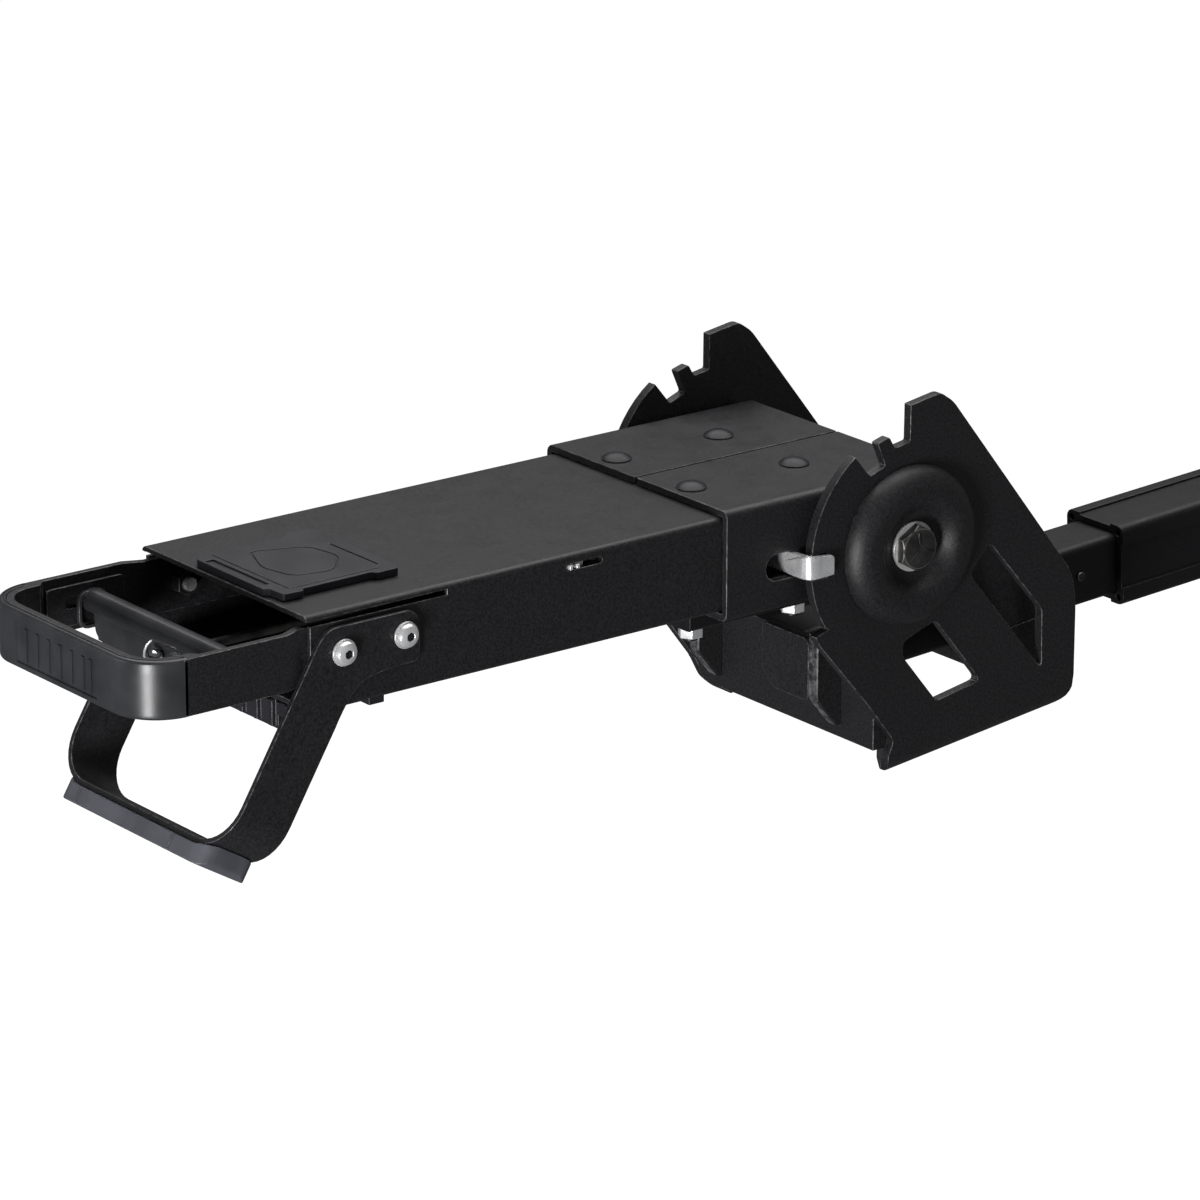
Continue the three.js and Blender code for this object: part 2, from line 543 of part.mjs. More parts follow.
// ---- lower lift strap, in (X, length, width) axes tilted with the strap ----
const sinL = Math.sin(LIFT.angle * deg);
const cosL = Math.cos(LIFT.angle * deg);
const liftFrame = basis([1, 0, 0], [0, -sinL, -cosL], [0, cosL, -sinL]);
function liftProfile(half, bottom, r, top) {
  return [
    [half, top],
    ...arc(half - r, bottom - r, r, 0, 90, 9),
    ...arc(r - half, bottom - r, r, 90, 180, 9),
    [-half, top],
  ];
}
function liftStrap() {
  const { outer, sheet, cornerR, bottom, front, back } = LIFT;
  const top = 45;
  const o = liftProfile(outer, bottom, cornerR, top);
  const i = liftProfile(outer - sheet, bottom - sheet, cornerR - sheet, top).reverse();
  const at = liftFrame.clone().multiply(new THREE.Matrix4().makeTranslation(0, 0, front));
  let s = extrude(shapeOf([...o, ...i]), back - front, at);
  const p = (l, w) => [-sinL * l + cosL * w, -cosL * l - sinL * w];
  const ear = rounded([
    [...p(60, front), 0], [6.4, -13.6, 3], [13.5, -8.2, 4], [66, -8.2, 7], [71, -14, 5], [71, -37.6, 5],
    [52, -37.8, 8], [32, -41, 8], [21.5, -54, 5], [...p(60, back), 0],
  ]);
  for (const side of [1, -1]) {
    const x0 = side > 0 ? outer - sheet : -outer;
    s = s.add(plateX(ear, x0, x0 + sheet));
  }
  return withScrewHoles(s, -90, 90);
}
node("lift_strap", liftStrap(), "coat");
function liftGrip() {
  const { outer, cornerR, bottom, front, back } = LIFT;
  const half = 68;
  const w0 = front - 2.6;
  const w1 = back + 1.8;
  const top = bottom - 17;
  const foot = bottom + 10.4;
  const at = liftFrame.clone().multiply(new THREE.Matrix4().makeTranslation(0, 0, w0));
  const block = rounded([
    [-half, top], [half, top], [half, foot - 3.4, 4],
    [half - 3, foot, 4], [3 - half, foot, 4], [-half, foot - 3.4, 4],
  ]);
  const inner = liftProfile(outer + GAP, bottom + GAP, cornerR + GAP, 40);
  const cutAt = liftFrame.clone().multiply(new THREE.Matrix4().makeTranslation(0, 0, w0 - 5));
  const plan = plateY(roundedRect(-half, half, w0, w1, 10, 7), top - 1, foot + 1);
  let s = extrude(shapeOf(block), w1 - w0, at).subtract(extrude(shapeOf(inner), w1 - w0 + 10, cutAt));
  // Fine moulding seams near both ends of the front face.
  for (const x of [-51, 38]) {
    s = s.subtract(box(x, x + 1.4, top - 1, foot + 1, w0 - 1, w0 + 0.5).transform([...liftFrame.elements]));
  }
  return s.intersect(plan.transform([...liftFrame.elements]));
}
node("lift_grip", liftGrip(), "gripGrey");

for (const where of ["front", "rear"]) {
  const [y, z] = SCREWS[where];
  const w0 = LIFT.outer + GAP;
  const w1 = w0 + 1.4;
  const h0 = w1 + GAP;
  const wash = rod("x", 7.6, y, z, w0, w1, 20).subtract(rod("x", 4.2, y, z, w0 - 1, w1 + 1, 16));
  const headProfile = [[0, 0], [6.8, 0], [6.8, 1], [5.8, 2.8], [3.4, 3.9], [0, 3.9]];
  const screwHead = lathe(headProfile, 20, basis([0, 1, 0], [1, 0, 0], [0, 0, -1], [h0, y, z]));
  const socket = hex("x", 4.6, y, z, h0 + 1.6, h0 + 5);
  const screw = screwHead.add(rod("x", SCREWS.shankR, y, z, 61, h0 + 0.5, 16)).subtract(socket);
  const nutOut = ARM.halfWidth - ARM.wall - GAP - HANDLE.strap - GAP;
  const thread = rod("x", SCREWS.shankR + 0.15, y, z, nutOut - 7, nutOut + 1, 16);
  const nut = hex("x", 13, y, z, nutOut - 6.4, nutOut).subtract(thread);
  for (const [side, pick] of [["right", (s) => s], ["left", mirrored]]) {
    node(`lift_washer_${where}_${side}`, pick(wash), "zinc");
    node(`lift_screw_${where}_${side}`, pick(screw), "zinc");
    node(`lift_nut_${where}_${side}`, pick(nut), "zinc");
  }
}

// ---- squeeze trigger, pull rod, latch bar ----
const ROD = { r: 2.6, z: -34 };
const barOut = guideIn - 0.4;
function triggerBar() {
  let s = plateX(roundedRect(-43, -30.5, -28.5, -15.5, 5.5, 5), -barOut, barOut);
  const frame = plateX(roundedRect(-46.5, -28, -37.5, -16, 6), barOut - 2.8, barOut)
    .subtract(plateX(roundedRect(-44.5, -30, -35.5, -18, 4), barOut - 4, barOut + 1));
  const pin = rod("x", TRIGGER.pinR, TRIGGER.y, TRIGGER.z, barOut - 1, guideOut - 0.2, 20);
  for (const side of [frame, pin]) s = s.add(side).add(mirrored(side));
  // Paddle under the bar, with a thin lip along its lower edge.
  const paddle = rounded([[-66, -24], [-65, -40, 5], [-52, -45, 4], [52, -45, 4], [65, -40, 5], [66, -24]]);
  s = s.add(plateY(paddle, -39.5, -35.5)).add(box(-51, 51, -41.2, -34, -45, -43.6));
  return s.subtract(rod("y", ROD.r + GAP, 0, ROD.z, -45, -30, 16));
}
node("trigger_bar", triggerBar(), "moulded");
const ballY = -39.5 - GAP - 4.1;
const ballAt = new THREE.Matrix4().makeTranslation(0, ballY, ROD.z);
const ball = solid(new THREE.SphereGeometry(4.4, 16, 10), ballAt);
node("rod_ball", ball.subtract(rod("y", ROD.r + 0.2, 0, ROD.z, ballY - 1, ballY + 6, 16)), "chrome");
node(
  "pull_rod",
  rod("y", ROD.r, 0, ROD.z, ballY - 0.5, LATCH.back + 6, 16)
    .add(rod("y", 6, 0, ROD.z, LATCH.back + GAP, LATCH.back + 5, 16))
    .add(rod("y", 5, 0, ROD.z, LATCH.front - 4.3, LATCH.front - GAP, 16)),
  "steel",
);
function latchBar() {
  const { front, back, low, high } = LATCH;
  const reach = 97.2;
  const sheet = 3.5;
  const outline = rounded([
    [-reach, low, 2], [reach, low, 2], [reach, high + 1.2, 2],
    [70, high, 2], [-70, high, 2], [-reach, high + 1.2, 2],
  ]);
  let s = plateY(outline, front, back);
  const flap = [[front + 1, low], [345.3, -40.6], [345.3, -30.2], [343.6, -28.9], [front + 1, high + 1.2]];
  s = s.add(plateX(flap, reach - sheet, reach)).add(plateX(flap, -reach, -reach + sheet));
  const bends = rounded([[-reach, front, 8], [reach, front, 8], [reach, 350], [-reach, 350]], 5);
  s = s.intersect(plateZ(bends, low - 1, high + 4));
  return s.subtract(rod("y", ROD.r + GAP, 0, ROD.z, front - 1, back + 1, 16));
}
node("latch_bar", latchBar(), "zinc");

// ---- place everything with the origin at the tongue's pin hole ----
const pinAlong = alongTongue(PIN.y);
const origin = new THREE.Vector3(0, pinAlong, 0).applyMatrix4(tongueFrame);
for (const [name, manifold, finish] of made) {
  const m = manifold.getMesh();
  const positions = new Float32Array(m.numVert * 3);
  for (let i = 0; i < m.numVert; i += 1) {
    for (let k = 0; k < 3; k += 1) {
      positions[i * 3 + k] = m.vertProperties[i * m.numProp + k] - origin.getComponent(k);
    }
  }
  const g = new THREE.BufferGeometry();
  g.setAttribute("position", new THREE.BufferAttribute(positions, 3));
  g.setIndex(new THREE.BufferAttribute(new Uint32Array(m.triVerts), 1));
  g.computeVertexNormals();
  const mesh = new THREE.Mesh(g, new THREE.MeshStandardMaterial(FINISH[finish]));
  mesh.name = name;
  group.add(mesh);
}

export default group;
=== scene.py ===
import json
import math

import bpy
from mathutils import Matrix, Vector


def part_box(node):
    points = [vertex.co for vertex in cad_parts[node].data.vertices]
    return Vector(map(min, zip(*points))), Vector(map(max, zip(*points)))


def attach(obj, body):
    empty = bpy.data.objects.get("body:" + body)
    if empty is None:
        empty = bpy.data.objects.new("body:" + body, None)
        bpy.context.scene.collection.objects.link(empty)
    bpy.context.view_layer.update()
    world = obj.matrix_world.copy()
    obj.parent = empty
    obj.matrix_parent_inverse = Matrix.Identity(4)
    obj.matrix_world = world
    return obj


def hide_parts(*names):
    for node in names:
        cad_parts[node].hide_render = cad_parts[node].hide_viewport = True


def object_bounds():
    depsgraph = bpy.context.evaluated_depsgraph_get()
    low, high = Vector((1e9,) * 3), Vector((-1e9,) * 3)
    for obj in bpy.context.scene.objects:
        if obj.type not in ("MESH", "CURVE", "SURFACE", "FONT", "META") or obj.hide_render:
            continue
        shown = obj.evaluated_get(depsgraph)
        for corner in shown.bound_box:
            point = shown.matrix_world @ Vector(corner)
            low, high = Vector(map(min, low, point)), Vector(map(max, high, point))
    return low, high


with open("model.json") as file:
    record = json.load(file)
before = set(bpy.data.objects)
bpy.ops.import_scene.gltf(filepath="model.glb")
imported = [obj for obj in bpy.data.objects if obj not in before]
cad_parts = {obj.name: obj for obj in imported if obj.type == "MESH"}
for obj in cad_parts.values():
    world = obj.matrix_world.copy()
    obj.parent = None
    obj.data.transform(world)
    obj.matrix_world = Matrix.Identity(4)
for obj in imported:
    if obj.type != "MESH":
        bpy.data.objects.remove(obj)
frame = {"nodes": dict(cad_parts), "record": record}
cad_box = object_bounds()

MM = 0.001
NODES = frame["nodes"]
SLOT_OF = {s["node"]: s["material_slot"] for s in frame["record"]["subparts"]}


# ---------------------------------------------------------------- node helpers
class Tree:
    """A material's node tree with short calls for what the finishes share."""

    def __init__(self, name):
        self.material = bpy.data.materials.new(name)
        self.material.use_nodes = True
        self.tree = self.material.node_tree
        self.shader = self.tree.nodes["Principled BSDF"]
        self.place = self.add("ShaderNodeTexCoord").outputs["Object"]

    def add(self, kind, **values):
        made = self.tree.nodes.new(kind)
        for key, value in values.items():
            setattr(made, key, value)
        return made

    def link(self, a, b):
        self.tree.links.new(a, b)

    def stretched(self, x, y, z):
        mapping = self.add("ShaderNodeMapping")
        mapping.inputs["Scale"].default_value = (x, y, z)
        self.link(self.place, mapping.inputs["Vector"])
        return mapping.outputs["Vector"]

    def noise(self, scale, detail=2.0, rough=0.5, place=None):
        n = self.add("ShaderNodeTexNoise")
        n.inputs["Scale"].default_value = scale
        n.inputs["Detail"].default_value = detail
        n.inputs["Roughness"].default_value = rough
        self.link(place or self.place, n.inputs["Vector"])
        return n.outputs["Fac"]

    def spread(self, value, low, high, to_low, to_high):
        n = self.add("ShaderNodeMapRange")
        for key, number in zip(("From Min", "From Max", "To Min", "To Max"), (low, high, to_low, to_high)):
            n.inputs[key].default_value = number
        self.link(value, n.inputs["Value"])
        return n.outputs["Result"]

    def mixed(self, factor, a, b):
        n = self.add("ShaderNodeMix", data_type="RGBA")
        self.link(factor, n.inputs["Factor"])
        for key, colour in (("A", a), ("B", b)):
            socket = [s for s in n.inputs if s.name == key and s.type == "RGBA"][0]
            socket.default_value = (*colour, 1)
        return [s for s in n.outputs if s.type == "RGBA"][0]

    def bump(self, height, strength, depth, under=None):
        n = self.add("ShaderNodeBump")
        n.inputs["Strength"].default_value = strength
        n.inputs["Distance"].default_value = depth
        self.link(height, n.inputs["Height"])
        if under:
            self.link(under, n.inputs["Normal"])
        return n.outputs["Normal"]

    def set(self, key, value):
        if isinstance(value, bpy.types.NodeSocket):
            self.link(value, self.shader.inputs[key])
        else:
            self.shader.inputs[key].default_value = value


def coat(name, dark, light, roughness, grain=0.25, specular=0.5):
    """Powder coat: fine grain over a slow orange peel, with faint handling marks."""
    t = Tree(name)
    speck = t.noise(720, 3, 0.75)
    fleck = t.spread(speck, 0.34, 0.68, 0, 1)
    t.set("Base Color", t.mixed(fleck, dark, light))
    base = t.noise(60, 4, 0.6)
    t.set("Roughness", t.spread(base, 0.3, 0.7, roughness - 0.05, roughness + 0.06))
    peel = t.bump(t.noise(380, 2, 0.5), 0.10, 0.0004)
    t.set("Normal", t.bump(speck, grain, 0.00025, peel))
    t.set("Specular IOR Level", specular)
    return t.material


def wear_and_highlight_edge(name, dark, light, roughness):
    """Lighter finish for rounded edges, partly wear where coating thins and partly a painted highlight that
    makes edges read as bright lines: mostly coated, brighter in broken stretches.
    """
    t = Tree(name)
    along = t.noise(210, 4, 0.7)
    t.set("Base Color", t.mixed(t.spread(along, 0.42, 0.66, 0, 1), dark, light))
    t.set("Roughness", t.spread(along, 0.4, 0.7, roughness + 0.08, roughness - 0.05))
    t.set("Normal", t.bump(t.noise(900, 2, 0.5), 0.12, 0.0002))
    t.set("Specular IOR Level", 0.6)
    return t.material


def moulded(name, dark, light, roughness, grain):
    """Injection moulding with a fine spark-eroded grain."""
    t = Tree(name)
    speck = t.noise(2300, 2, 0.55)
    drift = t.noise(45, 3, 0.5)
    t.set("Base Color", t.mixed(t.spread(drift, 0.35, 0.65, 0, 1), dark, light))
    t.set("Roughness", t.spread(drift, 0.3, 0.7, roughness - 0.03, roughness + 0.05))
    t.set("Normal", t.bump(speck, grain, 0.00012))
    return t.material


def plated(name, dark, light, roughness, streak=(1, 1, 1), metal=1.0):
    """Plated or plain steel: drawn streaks, soft blotches and small pits."""
    t = Tree(name)
    lines = t.noise(700, 3, 0.6, t.stretched(*streak))
    cloud = t.noise(90, 3, 0.6)
    t.set("Base Color", t.mixed(t.spread(cloud, 0.35, 0.68, 0, 1), dark, light))
    t.set("Roughness", t.spread(lines, 0.3, 0.7, roughness - 0.06, roughness + 0.08))
    t.set("Normal", t.bump(lines, 0.16, 0.00012))
    t.set("Metallic", metal)
    return t.material


MATERIALS = {
    "black_powder_coat": coat(
        "black_powder_coat", (0.0034, 0.0032, 0.004), (0.028, 0.0265, 0.0295), 0.45, 0.6
    ),
    "dark_coat": coat("dark_coat", (0.004, 0.004, 0.005), (0.012, 0.0115, 0.0135), 0.5, 0.3, 0.4),
    "charcoal_moulding": moulded(
        "charcoal_moulding", (0.030, 0.031, 0.034), (0.044, 0.045, 0.049), 0.31, 0.16
    ),
    "grip_grey": moulded("grip_grey", (0.084, 0.088, 0.103), (0.112, 0.117, 0.136), 0.4, 0.14),
    "black_plastic": moulded("black_plastic", (0.014, 0.014, 0.018), (0.022, 0.022, 0.027), 0.46, 0.12),
    "black_bolt": coat("black_bolt", (0.0045, 0.0045, 0.007), (0.013, 0.013, 0.018), 0.4, 0.15, 0.4),
    "dull_steel": plated("dull_steel", (0.045, 0.043, 0.042), (0.12, 0.115, 0.11), 0.46, metal=0.7),
    "bright_zinc": plated("bright_zinc", (0.72, 0.72, 0.74), (0.97, 0.97, 0.97), 0.3, (1, 6, 1), 0.5),
    "chrome": plated("chrome", (0.70, 0.70, 0.72), (0.85, 0.85, 0.86), 0.10),
}
# Lighter, smoother finishes for the bevelled edges: partly wear, partly a painted highlight along every
# edge.
EDGES = {
    "black_powder_coat": wear_and_highlight_edge("coat_edge", (0.022, 0.022, 0.024), (0.19, 0.19, 0.195), 0.32),
    "dark_coat": wear_and_highlight_edge("dark_edge", (0.006, 0.006, 0.007), (0.02, 0.02, 0.023), 0.45),
    "charcoal_moulding": wear_and_highlight_edge("moulding_edge", (0.05, 0.052, 0.054), (0.1, 0.102, 0.106), 0.33),
    "grip_grey": wear_and_highlight_edge("grip_edge", (0.075, 0.078, 0.09), (0.14, 0.145, 0.16), 0.38),
    "black_plastic": wear_and_highlight_edge("plastic_edge", (0.02, 0.02, 0.024), (0.05, 0.05, 0.058), 0.38),
    "black_bolt": wear_and_highlight_edge("bolt_edge", (0.018, 0.018, 0.021), (0.05, 0.05, 0.058), 0.32),
    "dull_steel": plated("steel_edge", (0.24, 0.235, 0.22), (0.45, 0.44, 0.42), 0.36, metal=0.9),
    "bright_zinc": plated("zinc_edge", (0.8, 0.8, 0.8), (0.95, 0.95, 0.95), 0.25, (1, 1, 1), 0.5),
    "chrome": MATERIALS["chrome"],
}


# ---------------------------------------------------------------- CAD nodes
def smooth_group():
    """Geometry nodes that join the split corners of an imported mesh and shade it smooth."""
    group = bpy.data.node_groups.new("join_and_smooth", "GeometryNodeTree")
    group.interface.new_socket("Geometry", in_out="INPUT", socket_type="NodeSocketGeometry")
    group.interface.new_socket("Geometry", in_out="OUTPUT", socket_type="NodeSocketGeometry")
    start = group.nodes.new("NodeGroupInput")
    end = group.nodes.new("NodeGroupOutput")
    merge = group.nodes.new("GeometryNodeMergeByDistance")
    merge.inputs["Distance"].default_value = 2e-6
    shade = group.nodes.new("GeometryNodeSetShadeSmooth")
    group.links.new(start.outputs[0], merge.inputs["Geometry"])
    group.links.new(merge.outputs["Geometry"], shade.inputs["Geometry"])
    group.links.new(shade.outputs["Geometry"], end.inputs[0])
    return group


SMOOTH = smooth_group()
EDGE_ANGLE = math.radians(27)


def paint(obj, slot_name):
    obj.data.materials.clear()
    obj.data.materials.append(MATERIALS[slot_name])
    obj.data.materials.append(EDGES[slot_name])


def dress(name, bevel=0.4, segments=2):
    """Gives a CAD node its finish and small rounded edges, over its flat facets joined again."""
    obj = NODES[name]
    paint(obj, SLOT_OF[name])
    join = obj.modifiers.new("join", "NODES")
    join.node_group = SMOOTH
    flat = obj.modifiers.new("flat", "DECIMATE")
    flat.decimate_type = "DISSOLVE"
    flat.angle_limit = math.radians(0.6)
    edge = obj.modifiers.new("edge", "BEVEL")
    edge.width = bevel * MM
    edge.segments = segments
    edge.limit_method = "ANGLE"
    edge.angle_limit = EDGE_ANGLE
    edge.use_clamp_overlap = False
    edge.harden_normals = False
    # The bevels take the lighter edge finish: partly wear, partly painted highlight.
    edge.material = 1
    even = obj.modifiers.new("even", "WEIGHTED_NORMAL")
    even.mode = "FACE_AREA"
    even.weight = 100
    even.keep_sharp = False
    return obj


BEVELS = {  # node name start: (rounding in mm, segments)
    "lift_grip": (0.8, 3),
    "latch_bar": (0.9, 3),
    "rib_": (1.8, 3),
    "head_bolt": (0.3, 2),
    "head_": (0.5, 2),
    "nose_block": (0.5, 2),
    "tray_plate": (0.35, 2),
    "rod_ball": (0.2, 1),
}
for node_name in NODES:
    sizes = [v for start, v in BEVELS.items() if node_name.startswith(start)]
    dress(node_name, *(sizes[0] if sizes else (0.4, 2)))


# ---------------------------------------------------------------- new pieces
# Measured like the CAD source: mm, Y from the arm tube's open end, Z from its top face.
TUBE_LOW, TUBE_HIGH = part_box("arm_tube")
ARM_ORIGIN = Vector((0, TUBE_LOW.y, TUBE_HIGH.z))


def placed(x, y, z):
    """A point given in the arm's mm, in the frame's metres."""
    return ARM_ORIGIN + Vector((x, y, z)) * MM


def arm_box(node):
    """A node's box in the arm's mm."""
    low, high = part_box(node)
    return (low - ARM_ORIGIN) / MM, (high - ARM_ORIGIN) / MM


def piece(name, points, faces, body, slot_name, sharp=32):
    """A shaded mesh in CAD coordinates that rides on a body."""
    mesh = bpy.data.meshes.new(name)
    mesh.from_pydata([placed(*p) for p in points], [], faces)
    mesh.validate()
    mesh.polygons.foreach_set("use_smooth", [True] * len(mesh.polygons))
    mesh.set_sharp_from_angle(angle=math.radians(sharp))
    obj = bpy.data.objects.new(name, mesh)
    bpy.context.scene.collection.objects.link(obj)
    paint(obj, slot_name)
    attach(obj, body)
    return obj


def swept(rings):
    """Points and faces of a skin over equal rings, with a cap at each end."""
    count = len(rings[0])
    points = [p for ring in rings for p in ring]
    faces = []
    for i in range(len(rings) - 1):
        for k in range(count):
            m = (k + 1) % count
            faces.append((i * count + k, i * count + m, (i + 1) * count + m, (i + 1) * count + k))
    faces.append(tuple(reversed(range(count))))
    faces.append(tuple((len(rings) - 1) * count + k for k in range(count)))
    return points, faces


def outward(points, faces):
    """The same faces, turned round if they enclose a negative volume."""
    total = 0.0
    for face in faces:
        a = Vector(points[face[0]])
        for i in range(1, len(face) - 1):
            total += a.dot(Vector(points[face[i]]).cross(Vector(points[face[i + 1]])))
    return faces if total > 0 else [tuple(reversed(f)) for f in faces]


def wire(name, path, radius, body, slot_name, around=10):
    """A round wire along a list of points."""
    spots = [Vector(p) for p in path]
    rings = []
    for i, at in enumerate(spots):
        ahead = (spots[min(i + 1, len(spots) - 1)] - spots[max(i - 1, 0)]).normalized()
        u = ahead.orthogonal().normalized() if i == 0 else (u - ahead * u.dot(ahead)).normalized()
        v = ahead.cross(u)
        turn = [2 * math.pi * k / around for k in range(around)]
        rings.append([tuple(at + (u * math.cos(t) + v * math.sin(t)) * radius) for t in turn])
    points, faces = swept(rings)
    return piece(name, points, outward(points, faces), body, slot_name)


# End handle cover: a moulded skin round the loop's outside with rounded rims, a double lip along the top
# and a shallow plain recess in the front.
GRIP_LOW, GRIP_HIGH = arm_box("handle_grip")
LOOP_HALF, LOOP_FRONT = arm_box("handle_strap")[1].x, GRIP_LOW.y
LOOP_R, SKIN = 28.0, 4.3
COVER_LOW, COVER_HIGH, COVER_END = GRIP_LOW.z, GRIP_HIGH.z, GRIP_HIGH.y + 0.2
RECESS = (-43.0, 35.0, -35.4, -13.8, 1.2, 0.5)  # x range, z range, depth, slope of its sides


def loop_stations():
    """(x, y, outward x, outward y) along the loop, from the right leg round the front to the left leg."""
    out = [(LOOP_HALF, COVER_END, 1, 0)]
    centre_x, centre_y = LOOP_HALF - LOOP_R, LOOP_FRONT + LOOP_R
    for i in range(17):
        t = math.radians(-90 * i / 16)
        cos, sin = math.cos(t), math.sin(t)
        out.append((centre_x + LOOP_R * cos, centre_y + LOOP_R * sin, cos, sin))
    x0, x1, slope = RECESS[0], RECESS[1], RECESS[5]
    for x in (x1 + slope, x1, x1 - slope, x0 + slope, x0, x0 - slope):
        out.append((x, LOOP_FRONT, 0, -1))
    return out + [(-x, y, -nx, ny) for x, y, nx, ny in reversed(out[:18])]


LIP_GROOVE = ((2.3, 0), (2.45, 0.55), (2.85, 0.55), (3.0, 0), (3.8, 0))  # (inset, drop) along the top


def cover_profile(x, on_front):
    """(inset, z) round the cover's section; the recess pulls the outer face in on the front."""
    x0, x1, z0, z1, depth, slope = RECESS
    inside = on_front and x0 + slope / 2 < x < x1 - slope / 2
    sunk = depth if inside else 0.0
    low, high = COVER_LOW, COVER_HIGH
    rim, foot = 1.9, 1.7
    section = []
    for i in range(5):
        t = math.radians(90 * i / 4)
        section.append((foot - foot * math.sin(t), low + foot - foot * math.cos(t)))
    section += [(0, z0 - slope / 2), (sunk, z0 + slope / 2), (sunk, z1 - slope / 2), (0, z1 + slope / 2)]
    for i in range(5):
        t = math.radians(90 * i / 4)
        section.append((rim - rim * math.cos(t), high - rim + rim * math.sin(t)))
    section += [(inset, high - drop) for inset, drop in LIP_GROOVE]
    section += [(SKIN, high - 0.5), (SKIN, low + 0.5), (SKIN - 0.5, low)]
    return section


def handle_cover():
    rings = []
    for x, y, nx, ny in loop_stations():
        section = cover_profile(x, ny == -1)
        rings.append([(x - nx * inset, y - ny * inset, z) for inset, z in section])
    points, faces = swept(rings)
    obj = piece("handle_cover", points, outward(points, faces), "arm", "charcoal_moulding")
    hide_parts("handle_grip")


handle_cover()

# Plain raised bars in the recess, in place of lettering. The last gap is smaller, to end inside the recess.
BAR_PLACES = (-34, -23, -12, -1, 10, 21, 28)
BAR_HALF, BAR_REACH, BAR_RISE, BAR_FLARE = 1.1, 9.0, 0.75, 0.3
BAR_FOOT = LOOP_FRONT + RECESS[4]
BAR_MIDDLE = (RECESS[2] + RECESS[3]) / 2


def recess_bar(index, x):
    rings = []
    sections = ((BAR_FOOT + 0.3, 0.0), (BAR_FOOT - BAR_RISE * 0.6, 0.0), (BAR_FOOT - BAR_RISE, BAR_FLARE))
    for y, flare in sections:
        across, along = BAR_HALF + flare, BAR_REACH + flare
        corners = ((-across, -along), (across, -along), (across, along), (-across, along))
        rings.append([(x + a, y, BAR_MIDDLE + b) for a, b in corners])
    points, faces = swept(rings)
    piece(f"recess_bar_{index}", points, outward(points, faces), "arm", "charcoal_moulding")


for bar, bar_x in enumerate(BAR_PLACES):
    recess_bar(bar, bar_x)

# Release wire: thin and stiff, from the trigger bar down and round to the ball.
WIRE_ROUTE = [
    (-9.5, -37.2, -27.2),
    (-10.8, -39.8, -29),
    (-12.6, -41, -31.4),
    (-13, -42, -34.4),
    (-11.6, -43.2, -37),
    (-8.4, -43.8, -38.6),
    (-4.6, -43.9, -37.6),
]
WIRE_RADIUS = 0.75
wire("release_wire", WIRE_ROUTE, WIRE_RADIUS, "release", "bright_zinc")


# Dark plate behind the trigger's paddle, out to the end frames: painted shade that closes the gap under the
# bar where only shade shows.
def trigger_shade_plate():
    bar_low, bar_high = arm_box("trigger_bar")
    half, chamfer, ease = bar_high.x - 5.5, 0.5, 0.6
    foot, head = bar_low.z + 0.2, bar_high.z - 6.5
    front, back = bar_high.y - 7.2, bar_high.y - 5.6
    rings = []
    for x, inset in ((-half, chamfer), (ease - half, 0.0), (half - ease, 0.0), (half, chamfer)):
        low, high, near, far = foot + inset, head - inset, front + inset * 0.4, back - inset * 0.4
        rings.append([(x, near, low), (x, far, low), (x, far, high), (x, near, high)])
    points, faces = swept(rings)
    # a black plate standing in for the shade behind the paddle
    piece("trigger_shade_plate", points, outward(points, faces), "release", "black_plastic")


trigger_shade_plate()


# Ribs in front of the panel between the cheeks, their front faces given the lighter edge finish as a
# painted highlight.
RIB_EDGE = 0.7
PAINTED_HIGHLIGHT_BELOW = -0.55  # faces whose normal's y is under this take the lighter edge finish, a painted highlight


def rib(name):
    low, high = arm_box(name)
    front, back, top, foot = low.y, high.y, high.z, low.z
    outline = [(front, top), (back, top), (back, foot), (back - 3.2, foot + 0.5)]
    outline += [(front + 7.5, foot + 9), (front + 0.5, foot + 17.4), (front, foot + 20)]
    rings = []
    left, right = low.x, high.x
    for x, inset in ((left, RIB_EDGE), (left + RIB_EDGE, 0), (right - RIB_EDGE, 0), (right, RIB_EDGE)):
        rings.append([(x, min(y + inset, back), z - inset if z == top else z + inset) for y, z in outline])
    points, faces = swept(rings)
    obj = piece(name + "_plate", points, outward(points, faces), "base", "black_powder_coat")
    for face in obj.data.polygons:
        if face.normal.y < PAINTED_HIGHLIGHT_BELOW:
            # front-facing faces get the lighter edge finish: a painted highlight on the faces turned to the
            # front
            face.material_index = 1
    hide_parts(name)


for rib_name in ("rib_right", "rib_left"):
    rib(rib_name)


# Three plain raised marks on the pivot bolt's head.
MARKS, MARK_FIRST = 3, 100  # how many, and the first one's angle in degrees
MARK_START, MARK_LENGTH, MARK_HALF, MARK_STEPS = 2.6, 7.0, 0.75, 6
MARK_FOOT, MARK_EDGE, MARK_TOP = -0.7, 0.1, 0.4  # heights over the head's face


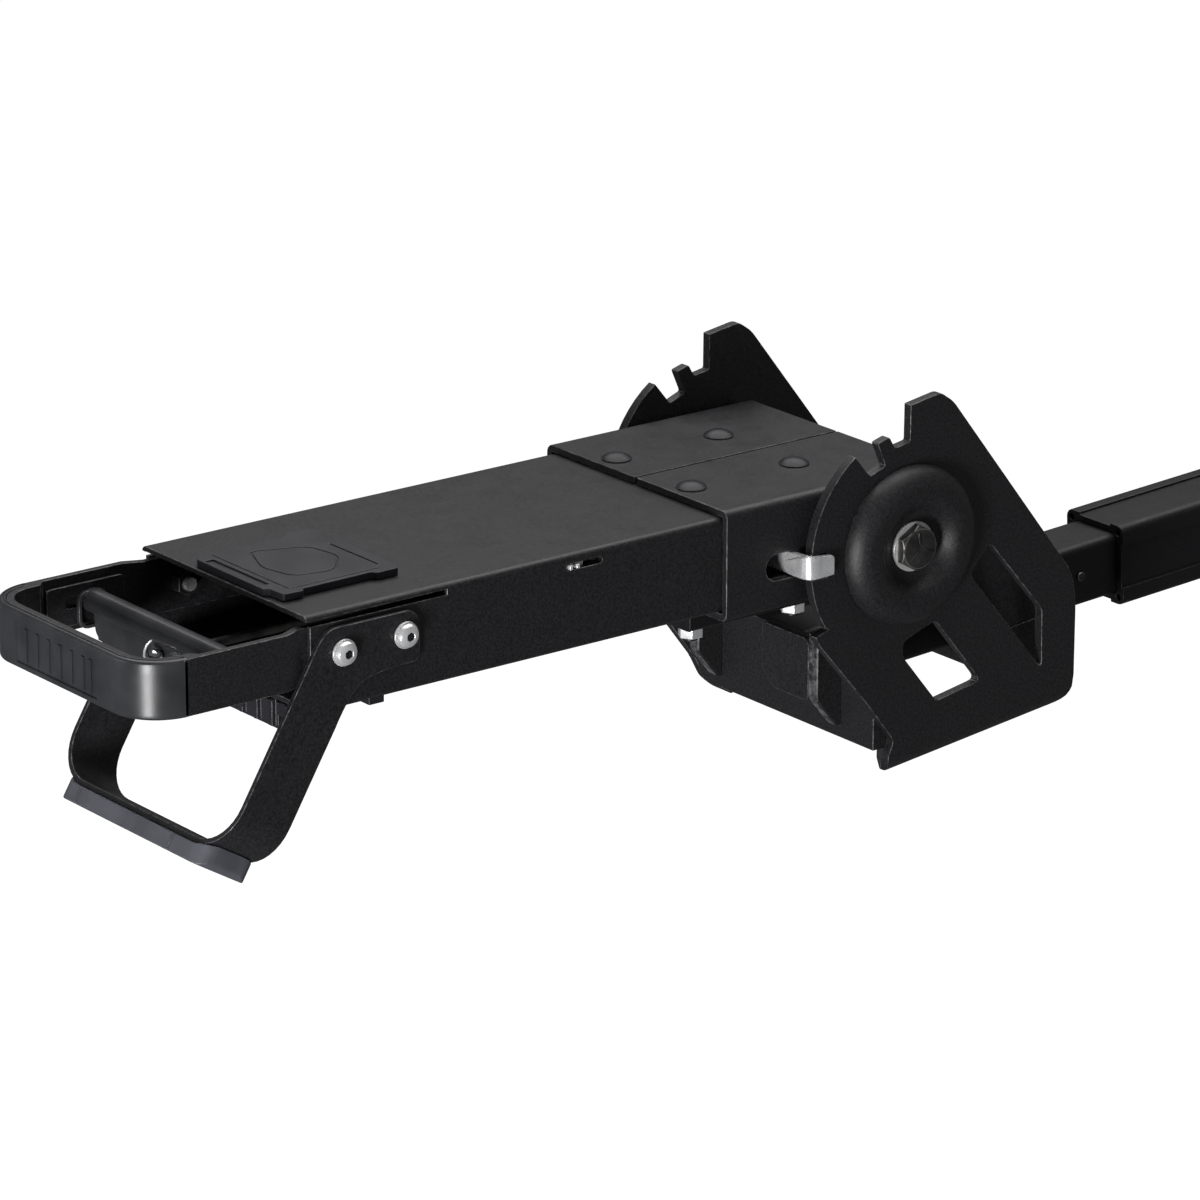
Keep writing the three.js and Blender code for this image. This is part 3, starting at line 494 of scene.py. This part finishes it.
def head_marks():
    low, high = arm_box("pivot_bolt")
    centre = (low + high) / 2
    start = Vector((high.x, centre.y, centre.z))
    for k in range(MARKS):
        t = math.radians(MARK_FIRST + 360 * k / MARKS)
        along = Vector((0, math.cos(t), math.sin(t)))
        across = Vector((0, -math.sin(t), math.cos(t)))
        rings = []
        for step in range(MARK_STEPS + 1):
            part = step / MARK_STEPS
            width = MARK_HALF * (1 - (2 * part - 1) ** 6 * 0.6)
            at = start + along * (MARK_START + MARK_LENGTH * part)
            section = [(-width, MARK_FOOT), (-width, MARK_EDGE), (-width / 2, MARK_TOP)]
            section += [(-a, h) for a, h in reversed(section)]
            rings.append([tuple(at + across * a + Vector((h, 0, 0))) for a, h in section])
        points, faces = swept(rings)
        piece(f"bolt_mark_{k}", points, outward(points, faces), "base", "dull_steel")


head_marks()


# The floor of each lift screw's hex socket, with a drill point at its middle, in a dark coat: painted shade
# in the socket.
SOCKET_FLOOR = ((1.5, 3.0), (0.7, 3.0), (0.7, 1.3), (1.3, 0.3))  # (depth under the head's face, radius)


def socket_shade_floor(where, side):
    low, high = arm_box(f"lift_screw_{where}_{side}")
    face, inward = (high.x, -1) if side == "right" else (low.x, 1)
    centre = (low + high) / 2
    turns = [math.radians(60 * k) for k in range(6)]
    rings = []
    for depth, radius in SOCKET_FLOOR:
        x = face + inward * depth
        rings.append([(x, centre.y + radius * math.cos(t), centre.z + radius * math.sin(t)) for t in turns])
    points, faces = swept(rings)
    # dark coat as painted shade at the socket's bottom
    piece(f"socket_shade_floor_{where}_{side}", points, outward(points, faces), "arm", "black_bolt")


for where in ("front", "rear"):
    for side in ("right", "left"):
        socket_shade_floor(where, side)


# ---------------------------------------------------------------- camera, light, floor
# The camera stands where the photo was taken from: turned about the vertical, tilted down, hardly rolled.
CAMERA_PLACE = (2.59502, -2.47462, 1.14337)
CAMERA_TURN, CAMERA_TILT, CAMERA_ROLL = 0.91184, 0.32306, 0.00168
CAMERA_LENS = 185.03
WORLD_STRENGTH = 0.11
FLOOR_HALF, FLOOR_DROP, FLOOR_GLOW = 22, 1.7, 0.9


def camera():
    data = bpy.data.cameras.new("camera")
    obj = bpy.data.objects.new("camera", data)
    bpy.context.scene.collection.objects.link(obj)
    data.sensor_width = 36
    data.lens = CAMERA_LENS
    data.clip_start, data.clip_end = 0.05, 100
    turn, tilt, roll = CAMERA_TURN, CAMERA_TILT, CAMERA_ROLL
    back = Vector((math.sin(turn) * math.cos(tilt), -math.cos(turn) * math.cos(tilt), math.sin(tilt)))
    right = Vector((math.cos(turn), math.sin(turn), 0))
    up = back.cross(right)
    side = right * math.cos(roll) + up * math.sin(roll)
    top = up * math.cos(roll) - right * math.sin(roll)
    obj.matrix_world = Matrix((side, top, back)).transposed().to_4x4()
    obj.location = CAMERA_PLACE
    bpy.context.scene.camera = obj
    return obj


def softbox(name, centre, aim, width, height, power, colour=(1, 1, 1)):
    data = bpy.data.lights.new(name, "AREA")
    data.shape = "RECTANGLE"
    data.size, data.size_y = width, height
    data.energy = power
    data.color = colour
    obj = bpy.data.objects.new(name, data)
    bpy.context.scene.collection.objects.link(obj)
    obj.location = centre
    obj.rotation_euler = (Vector(aim) - Vector(centre)).to_track_quat("-Z", "Y").to_euler()
    return obj


def studio():
    middle = (cad_box[0] + cad_box[1]) / 2
    world = bpy.data.worlds.new("studio")
    bpy.context.scene.world = world
    world.use_nodes = True
    tree = world.node_tree
    shade = tree.nodes["Background"]
    shade.inputs["Color"].default_value = (0.95, 0.97, 1.0, 1)
    shade.inputs["Strength"].default_value = WORLD_STRENGTH
    aim = tuple(middle)
    softbox("overhead", (middle.x - 0.5, middle.y + 0.5, 2.4), aim, 3.2, 3.2, 81, (1, 0.985, 0.985))
    softbox("end_fill", (middle.x - 1.2, middle.y - 2.6, 0.3), aim, 1.4, 1.2, 7, (0.95, 0.96, 1))
    corner = placed(LOOP_HALF - 8, LOOP_FRONT + 8, -24)
    # Low and in the mirror direction of the camera, so that the rounded near corner shows a soft band.
    strip_place = tuple(corner + Vector((1.37, -2.09, -0.62)))
    softbox("corner_strip", strip_place, tuple(corner), 0.72, 0.92, 66)
    floor_mesh = bpy.data.meshes.new("floor")
    far = FLOOR_HALF
    low = cad_box[0].z - FLOOR_DROP
    corners = [(-far, -far, low), (far, -far, low), (far, far, low), (-far, far, low)]
    floor_mesh.from_pydata(corners, [], [(0, 1, 2, 3)])
    floor = bpy.data.objects.new("floor", floor_mesh)
    bpy.context.scene.collection.objects.link(floor)
    pale = bpy.data.materials.new("pale_floor")
    pale.use_nodes = True
    shader = pale.node_tree.nodes["Principled BSDF"]
    shader.inputs["Base Color"].default_value = (0.9, 0.9, 0.9, 1)
    shader.inputs["Roughness"].default_value = 0.9
    shader.inputs["Emission Color"].default_value = (1, 1, 1, 1)
    shader.inputs["Emission Strength"].default_value = FLOOR_GLOW
    floor_mesh.materials.append(pale)
    floor.visible_glossy = False
    floor.visible_diffuse = False
    bpy.context.scene.view_settings.view_transform = "Standard"


camera()
studio()
